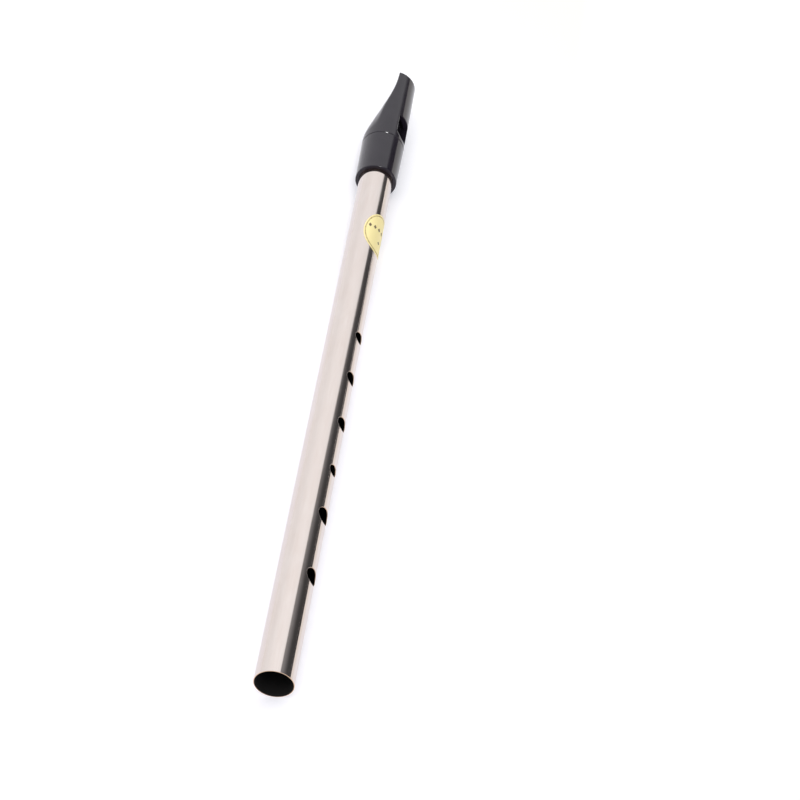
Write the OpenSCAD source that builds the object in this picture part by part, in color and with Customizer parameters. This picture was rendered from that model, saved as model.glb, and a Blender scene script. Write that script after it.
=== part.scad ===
// Tin whistle in C, lying on its side: a thin plated tube with six finger holes
// and a moulded mouthpiece head that slides on the end of the tube to tune it.
//
// Origin: centre of the tube's open end. +Y runs along the bore to the
// mouthpiece, +Z points up from the surface that the whistle lies on.
// Every sub-part is drawn standing up, with Z along the bore from the open end
// and +X through the finger holes and the window. lay_down() then places it.
// Lengths are in millimetres.

/* [Pose] */
// Direction of holes and window, in degrees from straight up towards +X
roll = 67; // [0:1:90]

/* [Tube] */
// Outer diameter of the tube
tube_d = 13.8; // [13.4:0.1:14.2]
// Wall thickness of the tube
tube_wall = 0.35; // [0.3:0.05:0.5]
// Length of tube that shows below the head's collar
exposed_len = 262.2; // [255:0.1:270]
// Bevel on the edges of the tube's two ends
end_bevel = 0.1; // [0.05:0.05:0.15]
// Thickness of the plating, which stops just short of the collar
plating = 0.02; // [0.01:0.01:0.03]

/* [Finger holes] */
// Hole 1, the lowest: distance from the open end
hole_1_at = 45.1; // [42:0.1:48]
// Hole 1: diameter
hole_1_d = 6.4; // [5:0.1:7]
// Hole 2: distance from the open end
hole_2_at = 73.2; // [70:0.1:76]
// Hole 2: diameter
hole_2_d = 6.6; // [5:0.1:7]
// Hole 3: distance from the open end
hole_3_at = 95.3; // [92:0.1:98]
// Hole 3: diameter
hole_3_d = 4.6; // [4:0.1:6]
// Hole 4: distance from the open end
hole_4_at = 118.7; // [115:0.1:122]
// Hole 4: diameter
hole_4_d = 5.7; // [4.5:0.1:6.5]
// Hole 5: distance from the open end
hole_5_at = 142.8; // [139:0.1:146]
// Hole 5: diameter
hole_5_d = 5.6; // [4.5:0.1:6.5]
// Hole 6, the highest: distance from the open end
hole_6_at = 165.1; // [162:0.1:168]
// Hole 6: diameter
hole_6_d = 5.0; // [4:0.1:6]

/* [Label] */
// Distance from the open end to the middle of the oval foil label
label_at = 225; // [215:1:235]
// Length of the label along the tube
label_len = 22.8; // [18:0.2:26]
// How far the label wraps round the tube, in degrees
label_wrap = 132; // [90:2:150]
// Thickness of the foil
label_thick = 0.06; // [0.05:0.01:0.1]

/* [Head sleeve] */
// Diameter of the sleeve at its collar, where the tube goes in
collar_d = 17.0; // [16.6:0.1:17.4]
// Length of the sleeve, from the collar to the joint with the beak
sleeve_len = 22.4; // [21:0.1:24]
// Depth of the socket that the tube slides in
socket_depth = 19.8; // [18:0.1:20]
// Radial clearance between the tube and its socket
socket_gap = 0.05; // [0.03:0.01:0.1]
// Rounding of the collar's outer edge
collar_round = 0.5; // [0.2:0.1:0.8]

/* [Beak] */
// Diameter of the beak
beak_d = 17.7; // [17.4:0.1:18]
// Length of the beak, from the joint with the sleeve to the tip
beak_len = 42.9; // [41:0.1:45]
// Diameter of the wind chamber behind the window
chamber_d = 10.6; // [10:0.1:10.7]
// Depth of each edge bevel that makes the groove at the joint
joint_bevel = 0.3; // [0.1:0.05:0.4]
// Rounding of the edge at the tip
tip_round = 0.8; // [0.4:0.1:1.2]

/* [Windway and window] */
// Width of the windway and of the window
windway_w = 7.8; // [7:0.1:8]
// Height of the windway
windway_h = 1.0; // [0.8:0.1:1.2]
// Height of the windway's floor above the axis
floor_h = 5.0; // [4.8:0.1:5]
// Distance from the joint to the upper end of the window
window_top = 15.2; // [15:0.1:16]
// Length of the window, from its upper end to the blade
window_len = 5.8; // [5:0.1:6.5]
// Length of the ramp, from the blade to the outside of the beak
ramp_len = 7.5; // [6.5:0.1:8]
// Height of the blade's underside above the axis
blade_under = 5.4; // [5.3:0.05:5.5]
// Thickness of the blade's edge
blade_edge = 0.3; // [0.2:0.05:0.35]

/* [Underside of the beak] */
// Thickness of the tip, from the top to the underside
tip_thick = 6.05; // [5.8:0.05:6.5]
// Radius of the hollow curve of the underside, seen from the side
scoop_r = 45; // [42:1:48]
// Radius of the underside across the beak
under_r = 11; // [10:0.5:13]
// Slope where the underside starts to thin out
taper = 10.5; // [9:0.5:11]
// Distance from the joint to the start of that slope
taper_at = 3.6; // [3:0.1:5]

/* [Fipple block] */
// Radial clearance of the block in the beak
block_gap = 0.05; // [0.03:0.01:0.1]

/* [Hidden] */
$fn = 96;

eps = 0.01;
far = 60;

holes = [
    [hole_1_at, hole_1_d],
    [hole_2_at, hole_2_d],
    [hole_3_at, hole_3_d],
    [hole_4_at, hole_4_d],
    [hole_5_at, hole_5_d],
    [hole_6_at, hole_6_d]
];

tube_r = tube_d / 2;
bore_r = tube_r - tube_wall;
// The tube ends just short of the beak's spigot, and its plating just short of the collar
stop_gap = 0.2;
tube_len = exposed_len + socket_depth - stop_gap;
plated_len = exposed_len - stop_gap;
bare_r = tube_r - plating;

socket_r = tube_r + socket_gap;
socket_lead = 0.3;
collar_r = collar_d / 2;
beak_r = beak_d / 2;

// Glued joint: the beak's spigot sits in the top of the sleeve
joint_at = exposed_len + sleeve_len;
spigot_r = 7.6;
spigot_glue = 0.03;
spigot_at = exposed_len + socket_depth;
tip_at = joint_at + beak_len;

window_top_at = joint_at + window_top;
blade_at = window_top_at - window_len;
blade_top = blade_under + blade_edge;
chamber_r = chamber_d / 2;
relief_len = 8;

// The block's cavity is wide enough for the windway's floor
cavity_r = norm([floor_h, windway_w / 2]) + 0.06;
block_r = cavity_r - block_gap;

tip_under = beak_r - tip_thick;
// The hollow curve is level with the bore this far from the tip
scoop_level = 0.5;
scoop_half_w = 9.5;
scoop_rim = 5.6;

// Turns a part drawn standing up into its place in the lying whistle
module lay_down() {
    rotate([0, roll - 90, 0]) rotate([-90, 0, 0]) children();
}

// Points of a quarter circle from angle a, centred at c
function corner(c, r, a) = [for (i = [0 : 6]) c + r * [cos(a + 15 * i), sin(a + 15 * i)]];

// Block of space over the windway's width, between two heights and two stations
module channel(low, high, from, to) {
    translate([low, -windway_w / 2, from]) cube([high - low, windway_w, to - from]);
}

// Everything that the hollow underside takes away: a wheel with a hollow rim
module scoop() {
    translate([tip_under - scoop_r, 0, tip_at - scoop_level]) rotate([90, 0, 0]) rotate_extrude()
        difference() {
            translate([0, -scoop_half_w]) square([scoop_r + scoop_rim, 2 * scoop_half_w]);
            translate([scoop_r + under_r, 0]) circle(r = under_r);
        }
}

// Long cylinder that thins the underside ahead of the scoop
module taper_envelope() {
    translate([-beak_r, 0, joint_at + taper_at]) rotate([0, taper, 0])
        translate([under_r, 0, -far / 2]) cylinder(r = under_r, h = 2 * far);
}

// Outer form of the beak, with the spigot that goes into the sleeve
module beak_blank() {
    rotate_extrude() polygon(concat(
        [
            [0, spigot_at],
            [spigot_r - spigot_glue, spigot_at],
            [spigot_r - spigot_glue, joint_at],
            [beak_r - joint_bevel, joint_at],
            [beak_r, joint_at + joint_bevel]
        ],
        corner([beak_r - tip_round, tip_at - tip_round], tip_round, 0),
        [[0, tip_at]]
    ));
}

// Wedge that leaves the ramp, from the outside of the beak down to the blade
module ramp_cut() {
    translate([0, windway_w / 2, 0]) rotate([90, 0, 0]) linear_extrude(windway_w) polygon([
        [beak_r, blade_at - ramp_len],
        [blade_top, blade_at],
        [blade_top, blade_at + eps],
        [far / 2, blade_at + eps],
        [far / 2, blade_at - ramp_len]
    ]);
}

// Plated tube, with a bare end that sits in the head
module tube() {
    color("gainsboro") lay_down() difference() {
        rotate_extrude() polygon([
            [bore_r, 0],
            [tube_r - end_bevel, 0],
            [tube_r, end_bevel],
            [tube_r, plated_len],
            [bare_r, plated_len],
            [bare_r, tube_len - end_bevel],
            [bare_r - end_bevel, tube_len],
            [bore_r, tube_len]
        ]);
        for (hole = holes) translate([0, 0, hole[0]]) rotate([0, 90, 0]) cylinder(d = hole[1], h = tube_d);
    }
}

// Oval of foil that is a true ellipse when it is laid flat
module foil_label() {
    color("khaki") lay_down() intersection() {
        difference() {
            translate([0, 0, label_at - label_len]) cylinder(r = tube_r + label_thick, h = 2 * label_len);
            translate([0, 0, label_at - label_len - eps]) cylinder(r = tube_r, h = 2 * label_len + 2 * eps);
        }
        translate([0, 0, label_at]) rotate([90, 0, 90]) linear_extrude(tube_d) polygon(
            [for (a = [0 : 6 : 354]) [tube_r * sin(label_wrap / 2 * cos(a)), label_len / 2 * sin(a)]]
        );
    }
}

// Lower moulding: socket for the tube, and a counterbore for the beak's spigot
module head_sleeve() {
    color("dimgray") lay_down() rotate_extrude() polygon(concat(
        [[socket_r + socket_lead, exposed_len]],
        corner([collar_r - collar_round, exposed_len + collar_round], collar_round, -90),
        [
            [beak_r, joint_at - joint_bevel],
            [beak_r - joint_bevel, joint_at],
            [spigot_r, joint_at],
            [spigot_r, spigot_at],
            [socket_r, spigot_at],
            [socket_r, exposed_len + socket_lead]
        ]
    ));
}

// Upper moulding: wind chamber, window, ramp and roof of the windway
module beak() {
    color("dimgray") lay_down() difference() {
        intersection() {
            beak_blank();
            taper_envelope();
        }
        scoop();
        translate([0, 0, spigot_at - eps]) cylinder(r = chamber_r, h = window_top_at - spigot_at + 2 * eps);
        translate([0, 0, window_top_at]) cylinder(r = cavity_r, h = beak_len);
        channel(0, floor_h + windway_h, window_top_at - eps, tip_at + far);
        channel(0, blade_under, blade_at - relief_len, window_top_at);
        channel(0, far / 2, blade_at, window_top_at);
        ramp_cut();
    }
}

// Plug that closes the beak under the windway, flush with the beak's underside
module fipple_block() {
    color("slategray") lay_down() difference() {
        intersection() {
            translate([0, 0, window_top_at]) cylinder(r = block_r, h = tip_at - window_top_at);
            taper_envelope();
        }
        scoop();
        translate([floor_h, -far / 2, window_top_at - eps]) cube([far, far, far]);
    }
}

tube();
foil_label();
head_sleeve();
beak();
fipple_block();
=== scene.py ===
"""Looks of the tin whistle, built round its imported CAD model.

Shapes are worked out in millimetres in the frame of the upright whistle: w points through
the finger holes and the window, v is across them, and z runs along the bore from the open
end. lay() turns such points into the model's frame, in metres, where the whistle lies down.
"""

import math

import bpy
import numpy as np
from mathutils import Matrix, Vector


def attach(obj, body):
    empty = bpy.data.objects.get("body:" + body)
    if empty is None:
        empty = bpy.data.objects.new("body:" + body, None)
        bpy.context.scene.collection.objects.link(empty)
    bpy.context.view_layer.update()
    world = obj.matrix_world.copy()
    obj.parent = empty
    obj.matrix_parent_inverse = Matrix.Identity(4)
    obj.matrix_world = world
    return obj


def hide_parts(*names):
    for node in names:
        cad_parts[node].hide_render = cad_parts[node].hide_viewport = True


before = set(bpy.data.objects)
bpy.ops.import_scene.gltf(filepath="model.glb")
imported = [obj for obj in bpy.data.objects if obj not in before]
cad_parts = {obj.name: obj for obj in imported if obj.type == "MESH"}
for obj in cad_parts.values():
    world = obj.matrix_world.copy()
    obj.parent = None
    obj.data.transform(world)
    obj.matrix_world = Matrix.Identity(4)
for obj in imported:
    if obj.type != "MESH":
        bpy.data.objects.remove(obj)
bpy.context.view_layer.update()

MM = 0.001

# ---------------------------------------------------------------------------
# Sizes, in millimetres, as in the CAD model
# ---------------------------------------------------------------------------
ROLL = math.radians(67)
TUBE_R = 6.9
BORE_R = 6.55
BARE_R = 6.88
PLATED_LEN = 262.0
TUBE_LEN = 281.8
HOLES = [(45.1, 6.4), (73.2, 6.6), (95.3, 4.6), (118.7, 5.7), (142.8, 5.6), (165.1, 5.0)]

LABEL_AT = 225.0
LABEL_LEN = 22.8
LABEL_WRAP = math.radians(132)
LABEL_THICK = 0.06
LABEL_LIP = 0.05
# The label's UV map holds millimetres from its middle, over this span, plus a half
UV_SPAN = 40.0

COLLAR_AT = 262.2
COLLAR_R = 8.5
COLLAR_ROUND = 0.5
SOCKET_R = 6.95
SOCKET_LEAD = 0.1
JOINT_AT = 284.6
JOINT_BEVEL = 0.3
SPIGOT_AT = 282.0
SPIGOT_R = 7.6
SPIGOT_GAP = 0.03
BEAK_R = 8.85
TIP_AT = 327.5
TIP_ROUND = 0.8
CHAMBER_R = 5.3
WINDOW_TOP = 299.8
BLADE_AT = 294.0
BLADE_UNDER = 5.4
BLADE_TOP = 5.7
RAMP_LEN = 7.5
HALF_WINDOW = 3.9
FLOOR_H = 5.0
WINDWAY_H = 1.0
CAVITY_R = math.hypot(FLOOR_H, HALF_WINDOW) + 0.06
BLOCK_R = CAVITY_R - 0.05


def lay(points):
    """Upright millimetres to lying metres. It also turns directions, apart from their length."""
    w, v, z = np.asarray(points, float).T
    s, c = math.sin(ROLL), math.cos(ROLL)
    return np.column_stack((w * s + v * c, z, w * c - v * s)) * MM


# ---------------------------------------------------------------------------
# Mesh helpers
# ---------------------------------------------------------------------------
class Shell:
    """Patches of points, normals and quads, welded into one mesh where they meet."""

    def __init__(self):
        self.points, self.normals, self.faces, self.count = [], [], [], 0

    def grid(self, points, normals, skip=None, flip=False):
        """Quads between rows of points. Both arrays are rows by columns by 3."""
        rows, cols = points.shape[:2]
        base = self.count
        self.points.append(points.reshape(-1, 3))
        self.normals.append(normals.reshape(-1, 3))
        self.count += rows * cols
        index = base + np.arange(rows * cols).reshape(rows, cols)
        quads = np.stack((index[:-1, :-1], index[:-1, 1:], index[1:, 1:], index[1:, :-1]), -1)
        if skip is not None:
            quads = quads[~skip]
        quads = quads.reshape(-1, 4)
        self.faces.append(quads[:, ::-1] if flip else quads)

    def welded(self):
        """Points, summed normals and faces, with points that fall together made one."""
        points = np.concatenate(self.points)
        normals = np.concatenate(self.normals)
        faces = np.concatenate(self.faces)
        key = np.round(points * 1e4 + 0.31831).astype(np.int64)
        _, first, back = np.unique(key, axis=0, return_index=True, return_inverse=True)
        back = back.reshape(-1)
        merged = np.zeros((len(first), 3))
        np.add.at(merged, back, normals)
        faces = back[faces]
        # A quad that has closed up to a triangle keeps its three corners
        out = []
        for quad in faces.tolist():
            ring = [p for i, p in enumerate(quad) if p != quad[i - 1]]
            if len(set(ring)) >= 3:
                out.append(ring)
        return points[first], merged, out


def make_piece(name, body, node, skin, material):
    """Object that rides on a body and stands for a CAD node. skin is its points, normals and faces."""
    points, normals, faces = skin
    mesh = bpy.data.meshes.new(name)
    mesh.from_pydata(lay(points).tolist(), [], faces)
    mesh.update()
    mesh.polygons.foreach_set("use_smooth", [True] * len(mesh.polygons))
    normals = lay(normals)
    normals /= np.maximum(np.linalg.norm(normals, axis=1, keepdims=True), 1e-12)
    # A corner on a knife edge takes its face's own normal
    facing = np.array([face.normal for face in mesh.polygons])
    facing = np.repeat(facing, [len(ring) for ring in faces], axis=0)
    corners = normals[np.concatenate(faces)]
    odd = (corners * facing).sum(1) < 0.4
    corners[odd] = facing[odd]
    mesh.normals_split_custom_set(corners.tolist())
    piece = bpy.data.objects.new(name, mesh)
    bpy.context.scene.collection.objects.link(piece)
    mesh.materials.append(material)
    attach(piece, body)
    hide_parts(node)
    return piece


def ring_points(radius, z, normal_r, normal_z, angles):
    """Points round the bore and their normals, each (len(angles), 3)."""
    c, s = np.cos(angles), np.sin(angles)
    points = np.column_stack((radius * c, radius * s, np.full_like(c, z)))
    normals = np.column_stack((normal_r * c, normal_r * s, np.full_like(c, normal_z)))
    return points, normals


def lathe(shell, profile, angles):
    """profile is a list of (radius, z, normal_r, normal_z), with the solid on the left."""
    pairs = [ring_points(*row, angles) for row in profile]
    shell.grid(np.array([p for p, _ in pairs]), np.array([n for _, n in pairs]))


def quarter_round(radius, z, fillet, start):
    """Profile rows round a quarter turn about (radius, z), from the start angle in degrees."""
    turns = [math.radians(start + 22.5 * k) for k in range(5)]
    facing = [(math.cos(a), math.sin(a)) for a in turns]
    return [(radius + fillet * c, z + fillet * s, c, s) for c, s in facing]


def rounded(corners):
    """Closed profile of a polygon of (radius, z, fillet), counterclockwise in the (radius, z) plane."""
    count = len(corners)
    rows = []
    for i, (r, z, fillet) in enumerate(corners):
        here = np.array([r, z])
        before = np.array(corners[i - 1][:2]) - here
        after = np.array(corners[(i + 1) % count][:2]) - here
        before /= np.linalg.norm(before)
        after /= np.linalg.norm(after)
        turn = math.acos(np.clip(-before @ after, -1, 1))
        reach = fillet * math.tan(turn / 2)
        n0 = np.array([-before[1], before[0]])
        n1 = np.array([after[1], -after[0]])
        side = 1 if after @ n0 < 0 else -1
        middle = here + before * reach - n0 * fillet * side
        steps = max(2, int(math.degrees(turn) / 15) + 1)
        for k in range(steps + 1):
            t = k / steps
            n = n0 * math.sin((1 - t) * turn) + n1 * math.sin(t * turn)
            n /= np.linalg.norm(n)
            p = middle + n * fillet * side
            rows.append((p[0], p[1], n[0], n[1]))
    return rows + rows[:1]


# ---------------------------------------------------------------------------
# Tube
# ---------------------------------------------------------------------------
COLUMNS = 120
STRIP = 12
PATCH_ROWS = 16
WALL_STEP = 5.0
END_FILLET = 0.1
HOLE_FILLET = 0.16
INNER_FILLET = 0.06
around = np.arange(COLUMNS + 1) * 2 * math.pi / COLUMNS
patch_half = TUBE_R * around[STRIP]


def wall_rows(from_z, to_z):
    """Stations of the rows of quads, and for each gap between two, whether it is in a patch."""
    rows, in_patch = [from_z], []
    for at, _ in HOLES:
        start = at - patch_half
        steps = max(1, int((start - rows[-1]) / WALL_STEP))
        first = rows[-1]
        rows += [first + (start - first) * (k + 1) / steps for k in range(steps)]
        in_patch += [False] * steps
        rows += [start + 2 * patch_half * (k + 1) / PATCH_ROWS for k in range(PATCH_ROWS)]
        in_patch += [True] * PATCH_ROWS
    first = rows[-1]
    steps = int((to_z - first) / WALL_STEP)
    rows += [first + (to_z - first) * (k + 1) / steps for k in range(steps)]
    in_patch += [False] * steps
    return np.array(rows), np.array(in_patch)


def cylinder_wall(shell, radius, from_z, to_z, outward):
    """Outer or inner wall of the tube, with a square gap left for the patch of each hole."""
    rows, in_patch = wall_rows(from_z, to_z)
    a, z = np.meshgrid(around, rows)
    radial = np.stack((np.cos(a), np.sin(a), np.zeros_like(a)), -1)
    points = radius * radial
    points[..., 2] = z
    column = np.arange(COLUMNS)
    in_strip = (column < STRIP) | (column >= COLUMNS - STRIP)
    skip = in_patch[:, None] & in_strip[None, :]
    shell.grid(points, radial if outward else -radial, skip, flip=not outward)


def square_ring(at):
    """Angle and station of the points round a patch, from its middle on the +v side."""
    a = around[STRIP]
    across = [a * (1 - k / STRIP) for k in range(2 * STRIP)]
    along = [patch_half * (-1 + 2 * k / PATCH_ROWS) for k in range(PATCH_ROWS)]
    ring = [(a, z) for z in along]
    ring += [(x, patch_half) for x in across]
    ring += [(-a, -z) for z in along]
    ring += [(-x, -patch_half) for x in across]
    ring = np.array(ring + ring[:1])
    # These are the corners of the quads beside the gap in the wall, so that the two weld together
    return ring[:, 0], at + ring[:, 1]


def hole_patch(shell, at, diameter):
    """Both walls round one hole, from the square gap in, and the rounded edge between them."""
    hole_r = diameter / 2
    square_a, square_z = square_ring(at)
    turn = np.arctan2(square_z - at, TUBE_R * square_a)
    cos_t, sin_t = np.cos(turn), np.sin(turn)

    def on_cylinder(radius, reach):
        v = reach * cos_t
        w = np.sqrt(radius * radius - v * v)
        return np.column_stack((w, v, at + reach * sin_t))

    def surface_normal(points):
        n = points.copy()
        n[:, 2] = 0
        return n / np.linalg.norm(n, axis=1, keepdims=True)

    def spread(radius, reach, steps):
        """Rings from the square to the circle of that reach, on the cylinder."""
        circle_a = np.arcsin(reach * cos_t / radius)
        circle_z = at + reach * sin_t
        rings = []
        for k in range(steps + 1):
            t = k / steps
            t = 1 - (1 - t) ** 1.4
            a = square_a + (circle_a - square_a) * t
            z = square_z + (circle_z - square_z) * t
            rings.append(np.column_stack((radius * np.cos(a), radius * np.sin(a), z)))
        return rings

    into = np.column_stack((np.zeros_like(cos_t), -cos_t, -sin_t))
    rings = spread(TUBE_R, hole_r + HOLE_FILLET, 4)
    normals = [surface_normal(p) for p in rings]
    for k in range(1, 5):
        b = math.radians(22.5 * k)
        depth, reach = HOLE_FILLET * (1 - math.cos(b)), HOLE_FILLET * (1 - math.sin(b))
        p = on_cylinder(TUBE_R - depth, hole_r + reach)
        rings.append(p)
        normals.append(surface_normal(p) * math.cos(b) + into * math.sin(b))
    for k in range(3):
        b = math.radians(45 * k)
        depth, reach = INNER_FILLET * (1 - math.sin(b)), INNER_FILLET * (1 - math.cos(b))
        p = on_cylinder(BORE_R + depth, hole_r + reach)
        rings.append(p)
        normals.append(into * math.cos(b) - surface_normal(p) * math.sin(b))
    back = spread(BORE_R, hole_r + INNER_FILLET, 3)[::-1]
    rings += back[1:]
    normals += [-surface_normal(p) for p in back[1:]]
    shell.grid(np.array(rings), np.array(normals))


def build_tube(material):
    """Thin tube with rounded ends and holes."""
    shell = Shell()
    f = END_FILLET
    cylinder_wall(shell, TUBE_R, f, PLATED_LEN, True)
    cylinder_wall(shell, BORE_R, f, TUBE_LEN - f, False)
    for at, diameter in HOLES:
        hole_patch(shell, at, diameter)
    lathe(shell, quarter_round(BORE_R + f, f, f, 180) + quarter_round(TUBE_R - f, f, f, 270), around)
    # The plating stops in a small step, and the bare end goes on into the head
    far = [(TUBE_R, PLATED_LEN, 1, 0), (BARE_R, PLATED_LEN + 0.02, 1, 0), (BARE_R, PLATED_LEN + 0.2, 1, 0)]
    far += quarter_round(BARE_R - f, TUBE_LEN - f, f, 0) + quarter_round(BORE_R + f, TUBE_LEN - f, f, 90)
    lathe(shell, far, around)
    return make_piece("tube_visual", "tube", "tube", shell.welded(), material)


# ---------------------------------------------------------------------------
# Foil label
# ---------------------------------------------------------------------------
def build_label(material):
    """Thin closed oval of foil, with a rounded lip."""
    rings, spokes = 26, 128
    t = np.linspace(0, 2 * math.pi, spokes + 1)
    half_wrap, half_len = LABEL_WRAP / 2, LABEL_LEN / 2
    top, bottom = TUBE_R + LABEL_THICK, TUBE_R
    shell = Shell()

    def ring(share, radius, edge):
        a = half_wrap * share * np.cos(t)
        z = LABEL_AT + half_len * share * np.sin(t)
        radial = np.column_stack((np.cos(a), np.sin(a), np.zeros_like(a)))
        p = radius * radial
        p[:, 2] = z
        side = np.column_stack((-np.sin(a) * np.cos(t), np.cos(a) * np.cos(t), np.sin(t)))
        return p, radial * math.cos(edge) + side * math.sin(edge)

    lip_share = LABEL_LIP / half_len
    rows = [ring((1 - lip_share) * k / rings, top, 0) for k in range(rings + 1)]
    for b in (0.52, 1.05, 1.57):
        rows.append(ring(1 - lip_share * (1 - math.sin(b)), top - LABEL_LIP * (1 - math.cos(b)), b))
    rows.append(ring(1, bottom, 1.57))
    shell.grid(np.array([r[0] for r in rows]), np.array([r[1] for r in rows]), flip=True)
    under = [ring(k / rings, bottom, 0) for k in range(rings, -1, -1)]
    shell.grid(np.array([r[0] for r in under]), -np.array([r[1] for r in under]), flip=True)
    skin = shell.welded()
    piece = make_piece("foil_label_visual", "tube", "foil_label", skin, material)
    uv = piece.data.uv_layers.new(name="label_mm")
    w, v, z = skin[0].T
    flat = np.column_stack((np.arctan2(v, w) * TUBE_R, z - LABEL_AT)) / UV_SPAN + 0.5
    corners = np.empty(len(piece.data.loops), int)
    piece.data.loops.foreach_get("vertex_index", corners)
    uv.data.foreach_set("uv", flat[corners].ravel())
    return piece


# ---------------------------------------------------------------------------
# Head sleeve
# ---------------------------------------------------------------------------
def build_sleeve(material):
    """Turned sleeve: collar, socket for the tube, and counterbore for the beak's spigot."""
    corners = [
        (SOCKET_R + SOCKET_LEAD, COLLAR_AT, 0.04),
        (COLLAR_R, COLLAR_AT, COLLAR_ROUND),
        (BEAK_R, JOINT_AT - JOINT_BEVEL, 0.04),
        (BEAK_R - JOINT_BEVEL, JOINT_AT, 0.04),
        (SPIGOT_R, JOINT_AT, 0.05),
        (SPIGOT_R, SPIGOT_AT, 0.05),
        (SOCKET_R, SPIGOT_AT, 0.05),
        (SOCKET_R, COLLAR_AT + SOCKET_LEAD, 0.04),
    ]
    profile = rounded(corners)
    # Extra rings along the long walls keep the quads from growing too thin
    rows = []
    for a, b in zip(profile, profile[1:]):
        rows.append(a)
        gap = math.hypot(b[0] - a[0], b[1] - a[1])
        steps = int(gap / 2)
        for k in range(1, steps):
            t = k / steps
            rows.append(tuple(x + (y - x) * t for x, y in zip(a, b)))
    rows.append(profile[-1])
    shell = Shell()
    lathe(shell, rows, np.arange(145) * 2 * math.pi / 144)
    return make_piece("head_sleeve_visual", "head", "head_sleeve", shell.welded(), material)


# ---------------------------------------------------------------------------
# Solids given by a signed distance, in millimetres
# ---------------------------------------------------------------------------
def both(a, b, fillet):
    """Distance to the space inside both, with the edge between them rounded."""
    outside = np.hypot(np.maximum(a + fillet, 0), np.maximum(b + fillet, 0))
    return np.minimum(np.maximum(a, b), -fillet) + outside


def without(a, b, fillet):
    """Distance to the space inside a but outside b, with the edge between them rounded."""
    return both(a, -b, fillet)


def chamfered(a, b, leg):
    """Distance to the space inside both, with the edge between them cut off at 45 degrees."""
    return np.maximum(np.maximum(a, b), (a + b + leg) * math.sqrt(0.5))


def slab(x, low, high):
    """Distance to the space between two planes across x."""
    return np.maximum(low - x, x - high)


# Underside of the beak: how round it is across, its slope, its hollow curve and its edges
UNDER_R = 11.0
SLOPE_AT = JOINT_AT + 3.6
SLOPE = math.radians(10.5)
SCOOP_R = 45.0
SCOOP_AT = TIP_AT - 0.5
TIP_UNDER = BEAK_R - 6.05
KINK_ROUND = 4.0
EDGE_CRISP = 0.45
EDGE_SOFT = 2.8
LEAST_WALL = 0.8


def underside(w, v, z):
    """Distance above the underside: a slope, then a hollow curve, both convex across."""
    up = (w + BEAK_R) * math.cos(SLOPE) - (z - SLOPE_AT) * math.sin(SLOPE) - UNDER_R
    slope = np.hypot(np.minimum(up, 0), v) - UNDER_R
    reach = np.hypot(w - (TIP_UNDER - SCOOP_R), z - SCOOP_AT) - (SCOOP_R + UNDER_R)
    hollow = np.hypot(np.minimum(reach, 0), v) - UNDER_R
    return both(slope, hollow, KINK_ROUND)


def ease(x):
    """Smooth step from 0 to 1."""
    x = np.clip(x, 0, 1)
    return x * x * (3 - 2 * x)


def edge_roll(w, z):
    """Radius of the edge between the sides and the underside: soft in the middle, crisp at the tip."""
    along = ease((z - 285) / 14) * (1 - ease((z - 308) / 13))
    return EDGE_CRISP + EDGE_SOFT * along * ease((3 - w) / 4)


def beak_outside(w, v, z):
    """Outer shape that the beak and the block share."""
    body = chamfered(np.hypot(w, v) - BEAK_R, JOINT_AT - z, JOINT_BEVEL)
    body = both(body, z - TIP_AT, TIP_ROUND)
    return both(body, underside(w, v, z), edge_roll(w, z))


def beak_solid(w, v, z):
    """The beak with its spigot, window, ramp, windway, wind chamber and cavity for the block."""
    r = np.hypot(w, v)
    body = beak_outside(w, v, z)
    spigot = np.maximum(r - (SPIGOT_R - SPIGOT_GAP), slab(z, SPIGOT_AT, JOINT_AT + 1))
    body = np.minimum(body, spigot)
    # The wind chamber leaves the least wall where the underside rises to it
    wall = both(r - BEAK_R, underside(w, v, z), edge_roll(w, z)) + LEAST_WALL
    chamber = np.maximum(np.maximum(r - CHAMBER_R, z - WINDOW_TOP), wall)
    cavity = np.maximum(r - CAVITY_R, WINDOW_TOP - z)
    side = np.abs(v) - HALF_WINDOW
    under_blade = np.maximum(slab(w, 0, BLADE_UNDER), slab(z, BLADE_AT - 8, WINDOW_TOP + 0.5))
    relief = np.maximum(side, under_blade)
    windway = np.maximum(side, np.maximum(slab(w, 0, FLOOR_H + WINDWAY_H), WINDOW_TOP - 0.01 - z))
    hollow = np.minimum(chamber, np.minimum(relief, windway))
    # The ramp falls from the outside of the beak down to the blade
    fall = BEAK_R - BLADE_TOP
    above_ramp = ((w - BLADE_TOP) * RAMP_LEN - (BLADE_AT - z) * fall) / math.hypot(fall, RAMP_LEN)
    ramp = both(side, np.maximum(-above_ramp, z - BLADE_AT - 0.01), 0.15)
    window = both(side, np.maximum(-w, slab(z, BLADE_AT, WINDOW_TOP)), 0.15)
    body = without(body, np.minimum(ramp, window), 0.18)
    # The wall beside the block begins rounded, where the underside first cuts into the cavity
    body = without(body, cavity, 0.12 + 0.5 * np.clip((304 - z) / 3, 0, 1))
    return without(body, hollow, 0.12)


def block_solid(w, v, z):
    """The block fills the cavity, is flat on top, and its underside goes on from the beak's."""
    body = both(beak_outside(w, v, z), np.hypot(w, v) - BLOCK_R, 0.15)
    body = both(body, WINDOW_TOP - z, 0.15)
    return both(body, w - FLOOR_H, 0.12)


def slopes(solid, p, step=0.01):
    """Gradient of the distance, which is also the direction of the normal."""
    out = np.empty_like(p)
    for k in range(3):
        near, off = p.copy(), p.copy()
        near[:, k] -= step
        off[:, k] += step
        out[:, k] = (solid(*off.T) - solid(*near.T)) / (2 * step)
    return out


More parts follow.
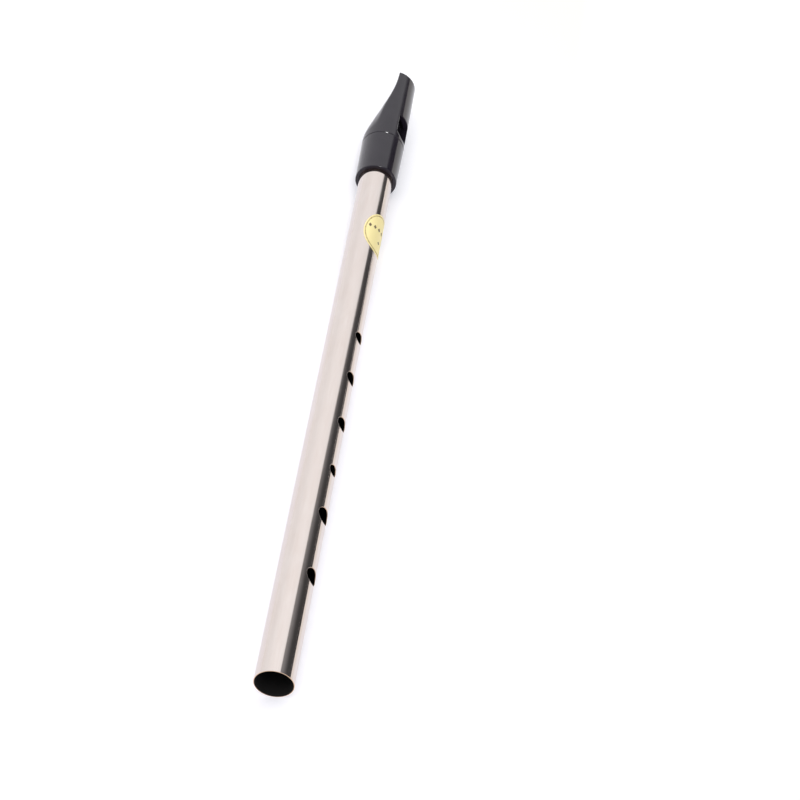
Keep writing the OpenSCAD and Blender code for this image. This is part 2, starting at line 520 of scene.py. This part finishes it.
def skin_solid(solid, axes):
    """Closed quad mesh of the surface where the distance is zero, pulled on to it, with its normals."""
    count = np.array([len(line) for line in axes])
    field = np.broadcast_to(solid(*np.meshgrid(*axes, indexing="ij", sparse=True)), count)
    inside = field < 0
    # One point for each cell that the surface passes through: the mean of its edge crossings
    shape = count - 1
    total = np.zeros((*shape, 3))
    hits = np.zeros(shape)
    quads = []
    number = np.arange(np.prod(shape)).reshape(shape)
    for axis in range(3):
        a = [slice(None)] * 3
        b = [slice(None)] * 3
        a[axis], b[axis] = slice(None, -1), slice(1, None)
        va, vb = field[tuple(a)], field[tuple(b)]
        cross = inside[tuple(a)] != inside[tuple(b)]
        at = np.argwhere(cross)
        fa, fb = va[cross], vb[cross]
        point = np.column_stack([axes[k][at[:, k]] for k in range(3)])
        point[:, axis] += fa / (fa - fb) * (axes[axis][at[:, axis] + 1] - point[:, axis])
        one, two = [k for k in range(3) if k != axis]
        ring = []
        for d1, d2 in ((0, 0), (1, 0), (1, 1), (0, 1)):
            c = at.copy()
            c[:, one] -= d1
            c[:, two] -= d2
            np.add.at(total, tuple(c.T), point)
            np.add.at(hits, tuple(c.T), 1)
            ring.append(number[tuple(c.T)])
        ring = np.stack(ring, -1)
        swap = inside[tuple(a)][cross] == (axis == 1)
        ring[swap] = ring[swap][:, ::-1]
        quads.append(ring)
    used, quads = np.unique(np.concatenate(quads), return_inverse=True)
    quads = quads.reshape(-1, 4)
    start = total.reshape(-1, 3)[used] / hits.reshape(-1)[used][:, None]
    points = start
    for _ in range(4):
        n = slopes(solid, points)
        length = np.maximum((n * n).sum(1, keepdims=True), 0.25)
        points = points - n * (solid(*points.T)[:, None] / length)
        points = np.clip(points, start - 0.15, start + 0.15)
    return points, slopes(solid, points, 0.03), quads.tolist()


def even_steps(low, high, cell):
    """Grid lines from low to high, as near to a cell apart as fits."""
    return np.linspace(low, high, int(round((high - low) / cell)) + 1)


def build_beak(material):
    """The beak's skin. Its grid is set off a little, so no line of it runs along a flat face."""
    across = even_steps(-9.36, 9.36, 0.26)
    # Closer rows at the bevel of the joint and at the tip
    along = np.concatenate((
        even_steps(SPIGOT_AT - 0.45, JOINT_AT - 0.05, 0.3)[:-1],
        even_steps(JOINT_AT - 0.05, JOINT_AT + 0.45, 0.1)[:-1],
        even_steps(JOINT_AT + 0.45, TIP_AT - 0.9, 0.31)[:-1],
        even_steps(TIP_AT - 0.9, TIP_AT + 0.2, 0.2),
    ))
    skin = skin_solid(beak_solid, (across - 0.13, across, along))
    return make_piece("beak_visual", "head", "beak", skin, material)


def build_block(material):
    """The block's skin."""
    across = even_steps(-6.9, 6.9, 0.3)
    along = even_steps(WINDOW_TOP - 0.4, TIP_AT + 0.5, 0.35)
    skin = skin_solid(block_solid, (across + 0.04, across, along))
    return make_piece("fipple_block_visual", "head", "fipple_block", skin, material)


# ---------------------------------------------------------------------------
# Materials
# ---------------------------------------------------------------------------
class Nodes:
    """Short names for the nodes of one tree."""

    def __init__(self, tree):
        self.tree = tree
        tree.nodes.clear()

    def link(self, a, b):
        self.tree.links.new(a, b)

    def put(self, socket, value):
        if isinstance(value, bpy.types.NodeSocket):
            self.link(value, socket)
        else:
            socket.default_value = value

    def math(self, kind, a, b=0.0, c=0.0):
        node = self.tree.nodes.new("ShaderNodeMath")
        node.operation = kind
        for socket, value in zip(node.inputs, (a, b, c)):
            self.put(socket, value)
        return node.outputs[0]

    def times(self, a, b):
        return self.math("MULTIPLY", a, b)

    def off(self, value, middle):
        """How far the value is from the middle, either way."""
        return self.math("ABSOLUTE", self.math("SUBTRACT", value, middle))

    def axes(self, vector):
        node = self.tree.nodes.new("ShaderNodeSeparateXYZ")
        self.link(vector, node.inputs[0])
        return node.outputs

    def vector(self, x, y, z):
        node = self.tree.nodes.new("ShaderNodeCombineXYZ")
        for socket, value in zip(node.inputs, (x, y, z)):
            self.put(socket, value)
        return node.outputs[0]

    def stretched(self, place, by):
        """Vector of the three places, each times its own factor."""
        return self.vector(*(self.times(part, factor) for part, factor in zip(place, by)))

    def noise(self, vector, scale, detail=2.0, roughness=0.5, distortion=0.0):
        node = self.tree.nodes.new("ShaderNodeTexNoise")
        self.link(vector, node.inputs["Vector"])
        node.inputs["Scale"].default_value = scale
        node.inputs["Detail"].default_value = detail
        node.inputs["Roughness"].default_value = roughness
        node.inputs["Distortion"].default_value = distortion
        return node.outputs["Fac"]

    def span(self, value, low, high, to_low=0.0, to_high=1.0, smooth=False):
        node = self.tree.nodes.new("ShaderNodeMapRange")
        node.interpolation_type = "SMOOTHSTEP" if smooth else "LINEAR"
        for socket, number in zip(node.inputs, (value, low, high, to_low, to_high)):
            self.put(socket, number)
        return node.outputs[0]

    def mix(self, share, a, b):
        node = self.tree.nodes.new("ShaderNodeMix")
        node.data_type = "RGBA"
        self.put(node.inputs["Factor"], share)
        for socket, value in ((node.inputs[6], a), (node.inputs[7], b)):
            self.put(socket, value)
        return node.outputs[2]

    def bump(self, height, distance, strength=1.0, onto=None):
        node = self.tree.nodes.new("ShaderNodeBump")
        node.inputs["Strength"].default_value = strength
        node.inputs["Distance"].default_value = distance
        self.link(height, node.inputs["Height"])
        if onto is not None:
            self.link(onto, node.inputs["Normal"])
        return node.outputs[0]


class Surface(Nodes):
    """A material's nodes, with its shader and the place of each point on the object."""

    def __init__(self, name):
        self.material = bpy.data.materials.new(name)
        self.material.use_nodes = True
        super().__init__(self.material.node_tree)
        out = self.tree.nodes.new("ShaderNodeOutputMaterial")
        self.shader = self.tree.nodes.new("ShaderNodeBsdfPrincipled")
        self.link(self.shader.outputs[0], out.inputs["Surface"])
        self.place = self.tree.nodes.new("ShaderNodeTexCoord").outputs["Object"]

    def set(self, name, value):
        self.put(self.shader.inputs[name], value)

    def upright(self):
        """Sockets for w, v and the place along the bore, in millimetres."""
        x, y, z = self.axes(self.place)[:3]
        s, c = math.sin(ROLL) / MM, math.cos(ROLL) / MM
        w = self.math("MULTIPLY_ADD", x, s, self.times(z, c))
        v = self.math("MULTIPLY_ADD", x, c, self.times(z, -s))
        return w, v, self.times(y, 1 / MM)


def plated_metal():
    """Bright nickel on brass: fine draw lines along the tube, and brass where the plating stops."""
    n = Surface("nickel_plated_brass")
    w, v, along = n.upright()
    radius = n.math("SQRT", n.math("MULTIPLY_ADD", w, w, n.times(v, v)))
    # Draw lines and polishing marks run along the tube
    lines = n.noise(n.stretched((w, v, along), (3.0, 3.0, 0.035)), 1.6, 4.0, 0.6)
    cloud = n.noise(n.stretched((w, v, along), (1.0, 1.0, 0.25)), 0.35, 3.0, 0.55, 0.4)
    fine = n.noise(n.vector(w, v, along), 9.0, 3.0, 0.6)
    # Brass shows at cut edges, where the plating has been rounded off or was never laid
    wander = n.times(n.math("SUBTRACT", fine, 0.5), 0.05)
    cut = n.span(n.math("ADD", radius, wander), TUBE_R - 0.05, TUBE_R - 0.02, 1.0, 0.0, True)
    ragged = n.math("MULTIPLY_ADD", wander, 4.0, along)
    bare = n.span(ragged, PLATED_LEN - 1.6, PLATED_LEN - 0.9, 0.0, 0.4, True)
    # The bore is dull and dark, a little way in from each edge
    inside = n.span(radius, BORE_R + 0.05, BORE_R + 0.2, 1.0, 0.0, True)
    tone = n.math("MULTIPLY_ADD", n.math("SUBTRACT", cloud, lines), 1.2, 0.5)
    nickel = n.mix(tone, (0.605, 0.53, 0.495, 1), (0.65, 0.595, 0.57, 1))
    brass = n.mix(fine, (0.78, 0.52, 0.33, 1), (0.86, 0.62, 0.44, 1))
    dull = n.mix(fine, (0.006, 0.0055, 0.006, 1), (0.012, 0.010, 0.010, 1))
    outside = n.mix(n.math("MAXIMUM", cut, bare), nickel, brass)
    n.set("Base Color", n.mix(inside, outside, dull))
    n.set("Metallic", n.math("SUBTRACT", 1.0, inside))
    rough = n.span(cloud, 0.3, 0.7, 0.075, 0.12)
    rough = n.math("MULTIPLY_ADD", n.math("SUBTRACT", lines, 0.5), 0.06, rough)
    rough = n.math("MULTIPLY_ADD", cut, 0.10, rough)
    n.set("Roughness", n.math("MULTIPLY_ADD", inside, 0.45, rough))
    normal = n.bump(lines, 0.0000015, 1.0)
    n.set("Normal", n.bump(fine, 0.000001, 0.6, normal))
    return n.material


def foil_metal():
    """Pale gold foil with a printed border line and a plain ornament."""
    n = Surface("gold_foil")
    uv = n.tree.nodes.new("ShaderNodeUVMap")
    uv.uv_map = "label_mm"
    x, y = (n.times(n.math("SUBTRACT", part, 0.5), UV_SPAN) for part in n.axes(uv.outputs[0])[:2])
    flat = n.vector(x, y, 0.0)
    speck = n.noise(flat, 3.0, 4.0, 0.6)
    # Border: a worn line at an even distance in from the edge, near enough in mm
    half_x, half_y = LABEL_WRAP / 2 * TUBE_R, LABEL_LEN / 2
    px = n.math("DIVIDE", x, half_x)
    py = n.math("DIVIDE", y, half_y)
    share = n.math("SQRT", n.math("MULTIPLY_ADD", px, px, n.times(py, py)))
    depth = n.times(n.math("SUBTRACT", 1.0, share), (half_x + half_y) / 2)
    depth = n.math("MULTIPLY_ADD", n.math("SUBTRACT", speck, 0.5), 0.15, depth)
    patchy = n.span(n.noise(flat, 1.1, 2.0), 0.4, 0.6, 0.55, 1.0, True)
    line = n.times(n.span(n.off(depth, 0.85), 0.2, 0.38, 1.0, 0.0, True), patchy)
    # Ornament: a row of six lozenges across the middle, and a single one below it
    step = 2.25
    lozenge = n.math("MULTIPLY_ADD", n.off(y, 2.4), 0.6, n.off(n.math("PINGPONG", x, step), step / 2))
    in_row = n.math("LESS_THAN", n.math("ABSOLUTE", x), 3 * step)
    row = n.times(n.span(lozenge, 0.6, 0.78, 1.0, 0.0, True), in_row)
    single = n.math("MULTIPLY_ADD", n.off(y, -4.4), 0.8, n.math("ABSOLUTE", x))
    mark = n.math("MAXIMUM", row, n.span(single, 0.6, 0.8, 1.0, 0.0, True))
    gold = n.mix(n.span(speck, 0.3, 0.7), (0.995, 0.84, 0.38, 1), (1.0, 0.885, 0.44, 1))
    colour = n.mix(n.times(line, 0.9), gold, (0.36, 0.25, 0.09, 1))
    n.set("Base Color", n.mix(mark, colour, (0.15, 0.11, 0.06, 1)))
    n.set("Metallic", n.span(mark, 0.0, 1.0, 0.05, 0.0))
    ink = n.math("MAXIMUM", mark, line)
    n.set("Roughness", n.math("MULTIPLY_ADD", ink, 0.15, n.math("MULTIPLY_ADD", speck, 0.12, 0.40)))
    wrinkle = n.noise(n.vector(n.times(x, 0.5), n.times(y, 0.2), 0.0), 1.2, 3.0, 0.5)
    n.set("Normal", n.bump(ink, 0.00001, 0.6, n.bump(wrinkle, 0.00002, 0.5)))
    return n.material


def gloss_plastic(name, dark, light, rough):
    """Moulded black plastic: faint flow clouding, fine grain and handling marks."""
    n = Surface(name)
    place = n.upright()
    cloud = n.noise(n.vector(*place), 0.16, 3.0, 0.5, 0.6)
    grain = n.noise(n.vector(*place), 7.0, 3.0, 0.65)
    scuff = n.noise(n.stretched(place, (2.0, 2.0, 0.35)), 1.3, 5.0, 0.7, 1.5)
    n.set("Base Color", n.mix(n.span(cloud, 0.35, 0.65), dark, light))
    rough_at = n.math("MULTIPLY_ADD", n.math("SUBTRACT", cloud, 0.5), 0.05, rough)
    n.set("Roughness", n.math("MULTIPLY_ADD", n.span(scuff, 0.56, 0.72), 0.08, rough_at))
    n.set("IOR", 1.44)
    n.set("Normal", n.bump(cloud, 0.00002, 0.5, n.bump(grain, 0.0000012, 1.0)))
    return n.material


# ---------------------------------------------------------------------------
# Floor, light and camera
# ---------------------------------------------------------------------------
def table_paint_and_glow():
    """White paint with a painted glow, which stands in for the light bounced about the room."""
    n = Surface("white_table_painted_glow")
    n.set("Base Color", n.mix(n.noise(n.place, 3.0, 2.0), (0.73, 0.73, 0.735, 1), (0.75, 0.75, 0.75, 1)))
    n.set("Roughness", 0.9)
    n.set("Specular IOR Level", 0.0)
    # The painted glow is cool on the left, warm on the right, and brighter and neutral beside the whistle;
    # gloss surfaces show it as painted reflection
    x, y = n.axes(n.place)[:2]
    to_side = n.math("ABSOLUTE", x)
    on_right = n.span(x, -0.01, 0.01, 0.0, 1.0, True)
    near = n.span(to_side, 0.018, 0.036, 1.0, 0.0, True)
    left = n.mix(near, (0.46, 0.445, 0.49, 1), (0.35, 0.34, 0.385, 1))
    right = n.mix(near, (0.40, 0.35, 0.29, 1), (0.51, 0.51, 0.55, 1))
    n.set("Emission Color", n.mix(on_right, left, right))
    # The painted glow is weaker by the head, though not far out to the sides
    by_head = n.span(y, 0.17, 0.25, 1.0, 0.72, True)
    away = n.span(to_side, 0.05, 0.09, 0.0, 1.0, True)
    n.set("Emission Strength", n.math("MAXIMUM", by_head, away))
    return n.material


def build_floor():
    """Pale table top under the tube's mouth and the head. The head is the thicker end, so it tilts."""
    tilt = 0.00685
    gap = 0.00002
    level = -TUBE_R * MM - gap
    side, y0, y1 = 3.2, -3.0, 3.5
    # The right side is cut back, so that the dark area beyond it shows in gloss surfaces
    corners = [(-side, y0), (0.068, y0), (0.068, 0.12), (0.12, 0.38), (side, 2.4), (side, y1), (-side, y1)]
    mesh = bpy.data.meshes.new("table_top")
    mesh.from_pydata([(x, y, level - tilt * y) for x, y in corners], [], [tuple(range(len(corners)))])
    mesh.materials.append(table_paint_and_glow())
    table = bpy.data.objects.new("table_top", mesh)
    bpy.context.scene.collection.objects.link(table)


def build_world():
    """White studio, with a dark area beyond the right side of the table that gloss surfaces show."""
    world = bpy.data.worlds.new("studio")
    bpy.context.scene.world = world
    world.use_nodes = True
    n = Nodes(world.node_tree)
    x, y, z = n.axes(n.tree.nodes.new("ShaderNodeTexCoord").outputs["Generated"])[:3]
    azimuth = n.times(n.math("ARCTAN2", x, y), 180 / math.pi)
    height = n.times(n.math("ARCSINE", z), 180 / math.pi)
    # The near edge of the dark area leans a little
    lean = n.span(height, 24.0, 36.0, 1.8, 0.0, True)
    left = n.span(n.math("SUBTRACT", azimuth, lean), 32.2, 34.8, 0.0, 1.0, True)
    right = n.span(azimuth, 105.0, 125.0, 1.0, 0.0, True)
    top = n.span(height, 52.0, 66.0, 1.0, 0.0, True)
    foot = n.span(height, -12.0, -9.0, 0.0, 1.0, True)
    dark = n.times(n.times(left, right), n.times(top, foot))
    # It is palest high up and near its left edge
    from_left = n.span(azimuth, 41.0, 50.0, 0.95, 0.84)
    shade = n.times(n.span(height, 14.0, 42.0, 0.085, 0.34, True), from_left)
    # The ceiling is brightest, and the wall behind the camera is dimmer
    near_wall = n.span(y, -0.75, -0.35, 1.0, 0.0, True)
    front = n.times(near_wall, n.span(z, 0.85, 0.6, 0.0, 1.0, True))
    white = n.math("SUBTRACT", n.span(height, 28.0, 56.0, 1.2, 1.38), n.times(front, 0.75))
    light = n.vector(white, white, n.times(white, 1.01))
    colour = n.mix(dark, light, n.vector(shade, shade, n.times(shade, 1.03)))
    # Seen directly, the studio is plain white
    seen = n.tree.nodes.new("ShaderNodeLightPath").outputs["Is Camera Ray"]
    background = n.tree.nodes.new("ShaderNodeBackground")
    n.put(background.inputs["Color"], n.mix(seen, colour, (1.06, 1.06, 1.06, 1)))
    out = n.tree.nodes.new("ShaderNodeOutputWorld")
    n.link(background.outputs[0], out.inputs["Surface"])


def build_lamp():
    """Small lamp with a narrow beam on the head. It shows as a glint on the edge at the joint."""
    data = bpy.data.lights.new("lamp_joint", "SPOT")
    data.shadow_soft_size = 0.07
    data.spot_size = math.radians(12)
    data.spot_blend = 0.8
    data.energy = 8.0
    lamp = bpy.data.objects.new("lamp_joint", data)
    bpy.context.scene.collection.objects.link(lamp)
    aim = Vector((0.211, -0.619, 0.757)).normalized()
    lamp.location = Vector((0.0, 0.275, 0.01)) + aim * 0.9
    lamp.rotation_euler = aim.to_track_quat("Z", "Y").to_euler()
    lamp.visible_camera = False


def build_camera():
    """Camera above the open end, looking down along the whistle."""
    data = bpy.data.cameras.new("camera")
    camera = bpy.data.objects.new("camera", data)
    bpy.context.scene.collection.objects.link(camera)
    data.sensor_width = 36.0
    data.lens = 99.45
    data.clip_start, data.clip_end = 0.01, 20.0
    right = Vector((0.9929, 0.1191, 0.0)).normalized()
    forward = Vector((-0.0849, 0.7078, -0.7013)).normalized()
    right = (right - forward * right.dot(forward)).normalized()
    up = right.cross(forward)
    turn = Matrix((right, up, -forward)).transposed().to_4x4()
    camera.matrix_world = Matrix.Translation((0.09457, -0.44208, 0.57326)) @ turn
    bpy.context.scene.camera = camera


build_camera()
build_world()
build_floor()
build_lamp()
bpy.context.scene.view_settings.view_transform = "Standard"

metal = plated_metal()
foil = foil_metal()
head_black = gloss_plastic("head_black_plastic", (0.014, 0.011, 0.0185, 1), (0.018, 0.0145, 0.0225, 1), 0.11)
block_black = gloss_plastic("block_black_plastic", (0.015, 0.013, 0.018, 1), (0.020, 0.018, 0.023, 1), 0.2)

build_tube(metal)
build_label(foil)
build_sleeve(head_black)
build_beak(head_black)
build_block(block_black)
